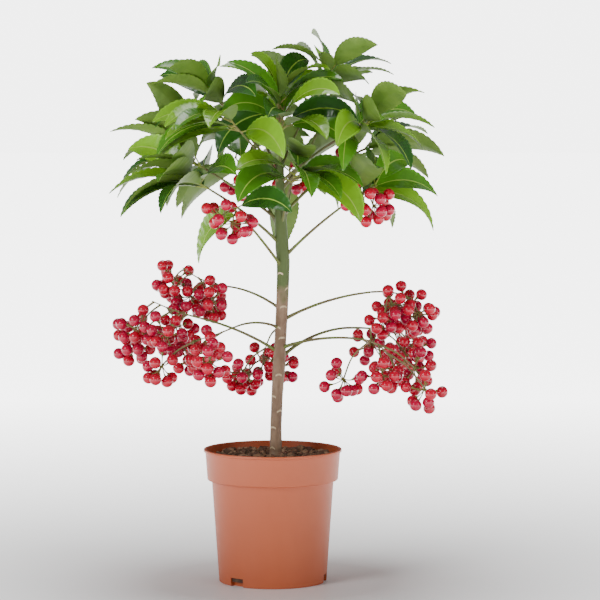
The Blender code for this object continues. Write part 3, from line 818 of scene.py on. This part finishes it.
def bark_look(name, brown, pale, green):
    """Bark that turns from brown to green with height, its border broken up by noise."""
    made = look(name, brown, 0.62, pale, patch=110.0, bump=0.5, grain=700.0, stretch=0.45)
    nodes, links = made.node_tree.nodes, made.node_tree.links
    shader = nodes["Principled BSDF"]
    base = shader.inputs["Base Color"].links[0].from_socket
    place = nodes.new("ShaderNodeTexCoord")
    parts = nodes.new("ShaderNodeSeparateXYZ")
    uneven = nodes.new("ShaderNodeTexNoise")
    uneven.inputs["Scale"].default_value = GREEN_PATCHES
    wander = nodes.new("ShaderNodeMath")
    wander.operation = "MULTIPLY_ADD"
    wander.inputs[1].default_value = GREEN_WANDER
    rise = nodes.new("ShaderNodeMapRange")
    rise.inputs["From Min"].default_value = GREEN_FROM + GREEN_OVER[0]
    rise.inputs["From Max"].default_value = GREEN_FROM + GREEN_OVER[1]
    blend = nodes.new("ShaderNodeMix")
    blend.data_type = "RGBA"
    blend.inputs["B"].default_value = (*green, 1.0)
    links.new(place.outputs["Object"], parts.inputs["Vector"])
    links.new(place.outputs["Object"], uneven.inputs["Vector"])
    links.new(uneven.outputs["Fac"], wander.inputs[0])
    links.new(parts.outputs["Z"], wander.inputs[2])
    links.new(wander.outputs["Value"], rise.inputs["Value"])
    links.new(rise.outputs["Result"], blend.inputs["Factor"])
    links.new(base, blend.inputs["A"])
    links.new(blend.outputs["Result"], shader.inputs["Base Color"])
    return made


# The pieces


def dress_leaves(made):
    builds = [Build() for _ in LEAF_TONES]
    stalks = Build()
    for row in SHOOTS:
        for index, leaf in enumerate(made[row.name][0]):
            chance = random.Random(f"{row.seed}/tone/{index}")
            tone = chance.choices((0, 1, 2), TONE_ODDS)[0]
            builds[tone].add(*blade(leaf))
            foot = leaf_spine(leaf)[0][0]
            end = foot + (foot - leaf.root) * PETIOLE_INTO_BLADE
            radii = [PETIOLE_RADIUS * share for share in PETIOLE_TAPER]
            stalks.add(tube([leaf.root, leaf.root.lerp(foot, 0.5), end], radii, PETIOLE_SIDES))
    under = look("leaf_underside", (0.13, 0.22, 0.03), 0.55, (0.09, 0.17, 0.02), bump=0.15)
    rib = look("leaf_rib", (0.28, 0.42, 0.06), 0.4, (0.22, 0.36, 0.04))
    names = ["leaves_" + row.name for row in SHOOTS]
    for (tone, colour), build in zip(LEAF_TONES, builds):
        warm = tuple(part * WARM for part in colour)
        edge = tuple(part * PALE for part in colour)
        upper = look("leaf_" + tone, colour, 0.22, warm, patch=45.0, bump=0.08, coat=0.2)
        looks = [upper, under, rib, look("leaf_edge_" + tone, edge, 0.4, colour, bump=0.1)]
        build.piece("leaves_" + tone, looks, "leaf", names)
    stalk = look("petiole", (0.24, 0.30, 0.04), 0.45, (0.20, 0.16, 0.04), bump=0.1)
    stalks.piece("petioles", [stalk], "leaf")


def dress_fruit(made):
    builds, stalks, twigs = (Build(), Build()), Build(), Build()
    for row in TRUSSES + SHOOTS:
        _, lines, berries, _ = made[row.name]
        for index, berry in enumerate(berries):
            ripe = random.Random(f"{row.seed}/ripe/{index}").random() < RIPE_SHARE
            builds[ripe].add(*berry_skin(berry))
            stalks.add(stalk_skin(berry))
        steps, sides = STEM_DETAIL
        twigs.add(tube(*smooth_line(stem_line(row), stem_radii(row), steps), sides))
        steps, sides = TWIG_DETAIL
        radii = [TWIG_RADIUS * share for share in TWIG_TAPER]
        for line in lines:
            twigs.add(tube(*smooth_line(line, radii, steps), sides))
    eye = look("berry_eye", (0.06, 0.02, 0.015), 0.7, (0.12, 0.04, 0.02))
    fruit = ["fruit_" + row.name for row in TRUSSES]
    for build, name, colour, deep in (
        (builds[0], "berries_scarlet", (0.46, 0.0, 0.022), (0.38, 0.0, 0.018)),
        (builds[1], "berries_crimson", (0.34, 0.0, 0.028), (0.42, 0.0, 0.034)),
    ):
        build.piece(name, [look(name, colour, 0.11, deep, patch=90.0), eye], "berry", fruit)
    stalk = look("berry_stalk", (0.17, 0.10, 0.025), 0.5, (0.14, 0.15, 0.03), bump=0.15)
    stalks.piece("berry_stalks", [stalk], "berry")
    twig = look("twig", (0.15, 0.17, 0.04), 0.6, (0.17, 0.12, 0.06), bump=0.25)
    twigs.piece("twigs", [twig], "green_bark")


def dress_bark():
    bark = Build()
    bark.add(*trunk_skin())
    steps, sides = BOUGH_DETAIL
    for row in TRUSSES + SHOOTS:
        radii = bough_radii(row)
        radii[0] *= BOUGH_COLLAR
        places, sizes = smooth_line(bough_line(row), radii, steps)
        rough = []
        for place, size in zip(places, sizes):
            rough.append(size * (1 + BOUGH_UNEVEN * noise.noise(place * BOUGH_BUMPS)))
        bark.add(tube(places, rough, sides), 2)
    looks = [
        bark_look("bark", (0.15, 0.085, 0.045), (0.27, 0.175, 0.105), (0.055, 0.085, 0.012)),
        look("leaf_scar", (0.56, 0.45, 0.28), 0.75, (0.42, 0.31, 0.19), patch=400.0, bump=0.3),
        look("bough_bark", (0.10, 0.135, 0.02), 0.55, (0.11, 0.08, 0.03), patch=70.0, bump=0.3),
    ]
    limbs = ["trunk"] + ["bough_" + row.name for row in TRUSSES + SHOOTS]
    bark.piece("bark_skin", looks, "bark", limbs)


def dress_pot():
    terracotta, paler = (0.50, 0.105, 0.036), (0.53, 0.12, 0.043)
    shell = look("pot_plastic", terracotta, 0.45, paler, patch=9.0, bump=0.08, grain=1500.0)
    place_piece("pot_shell", pot_mesh(), [shell], ["pot"], POT_CREASE)
    wet, dry = (0.075, 0.045, 0.03), (0.14, 0.09, 0.055)
    compost = look("compost", wet, 0.95, dry, patch=260.0, bump=1.0, grain=500.0)
    soil = bpy.data.objects["soil"]
    for slot in soil.material_slots:
        slot.material = compost
    chips = Build()
    chance = random.Random("chips")
    for _ in range(CHIPS):
        chips.add(chip_skin(chance), chance.choice(CHIP_TINTS))
    looks = [
        look("chip_dark", (0.10, 0.055, 0.035), 0.9, (0.16, 0.10, 0.06), patch=300.0, bump=0.6),
        look("chip_brown", (0.22, 0.12, 0.07), 0.85, (0.30, 0.18, 0.10), patch=300.0, bump=0.6),
        look("chip_tan", (0.38, 0.25, 0.15), 0.85, (0.28, 0.17, 0.10), patch=300.0, bump=0.6),
    ]
    chips.piece("chips", looks, "compost", crease=CHIP_CREASE)


# The studio

CAMERA_PLACE = (0.0237, -2.4, 0.417)
CAMERA_DOWN = 4.1  # degrees
CAMERA_LENS = 166.7  # mm
LIGHTS = (  # name, place, size in metres, watts
    ("key_left", (-1.5, -1.5, 1.2), 0.8, 26.0),
    ("fill_right", (1.6, -1.3, 0.9), 0.8, 9.0),
    ("top", (0.0, 0.3, 1.9), 0.9, 16.0),
)
LIGHTS_AIM = (0.0, 0.0, 0.25)
FLOOR_HALF = 20.0  # metres
# The sky's strength as a light, and as the white backdrop that the camera sees. The second is also
# the top strength of the floor's painted glow.
SKY_LIGHT, SKY_SEEN = 0.22, 5.0
# Painted light: the floor's emission rises from none to full between these distances
FLOOR_GLOW_FROM, FLOOR_GLOW_TO = 0.1, 1.5  # metres from the pot


def floor_look():
    """A pale floor with painted light: it glows more the further it is from the plant, standing in
    for the light on a lit white sweep.
    """
    made = look("floor", (0.93, 0.93, 0.93), 0.4, (0.95, 0.95, 0.95), patch=0.5)
    nodes, links = made.node_tree.nodes, made.node_tree.links
    shader = nodes["Principled BSDF"]
    place = nodes.new("ShaderNodeTexCoord")
    away = nodes.new("ShaderNodeVectorMath")
    away.operation = "LENGTH"
    # Painted light: emission strength that grows with distance from the plant
    painted_glow = nodes.new("ShaderNodeMapRange")
    painted_glow.inputs["From Min"].default_value = FLOOR_GLOW_FROM
    painted_glow.inputs["From Max"].default_value = FLOOR_GLOW_TO
    painted_glow.inputs["To Max"].default_value = SKY_SEEN
    shader.inputs["Emission Color"].default_value = (1.0, 1.0, 1.0, 1.0)
    links.new(place.outputs["Object"], away.inputs[0])
    links.new(away.outputs["Value"], painted_glow.inputs["Value"])
    links.new(painted_glow.outputs["Result"], shader.inputs["Emission Strength"])
    return made


def studio():
    floor = bpy.data.meshes.new("floor")
    corners = [(x * FLOOR_HALF, y * FLOOR_HALF, 0) for x, y in ((-1, -1), (1, -1), (1, 1), (-1, 1))]
    floor.from_pydata(corners, [], [(0, 1, 2, 3)])
    floor.materials.append(floor_look())
    ground = bpy.data.objects.new("floor", floor)
    bpy.context.scene.collection.objects.link(ground)
    world = bpy.data.worlds.new("studio")
    world.use_nodes = True
    sky = world.node_tree.nodes["Background"]
    sky.inputs["Color"].default_value = (1.0, 1.0, 1.0, 1.0)
    rays = world.node_tree.nodes.new("ShaderNodeLightPath")
    strength = world.node_tree.nodes.new("ShaderNodeMapRange")
    strength.inputs["To Min"].default_value = SKY_LIGHT
    strength.inputs["To Max"].default_value = SKY_SEEN
    world.node_tree.links.new(rays.outputs["Is Camera Ray"], strength.inputs["Value"])
    world.node_tree.links.new(strength.outputs["Result"], sky.inputs["Strength"])
    bpy.context.scene.world = world
    for name, place, size, watts in LIGHTS:
        lamp = bpy.data.lights.new(name, "AREA")
        lamp.size, lamp.energy = size, watts
        light = bpy.data.objects.new(name, lamp)
        light.location = place
        aim = Vector(LIGHTS_AIM) - light.location
        light.rotation_euler = aim.to_track_quat("-Z", "Y").to_euler()
        bpy.context.scene.collection.objects.link(light)
    eye = bpy.data.cameras.new("camera")
    eye.lens = CAMERA_LENS
    camera = bpy.data.objects.new("camera", eye)
    camera.location = CAMERA_PLACE
    camera.rotation_euler = (math.radians(90.0 - CAMERA_DOWN), 0.0, 0.0)
    bpy.context.scene.collection.objects.link(camera)
    bpy.context.scene.camera = camera


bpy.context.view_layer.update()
made = grow()
dress_bark()
dress_leaves(made)
dress_fruit(made)
dress_pot()
studio()
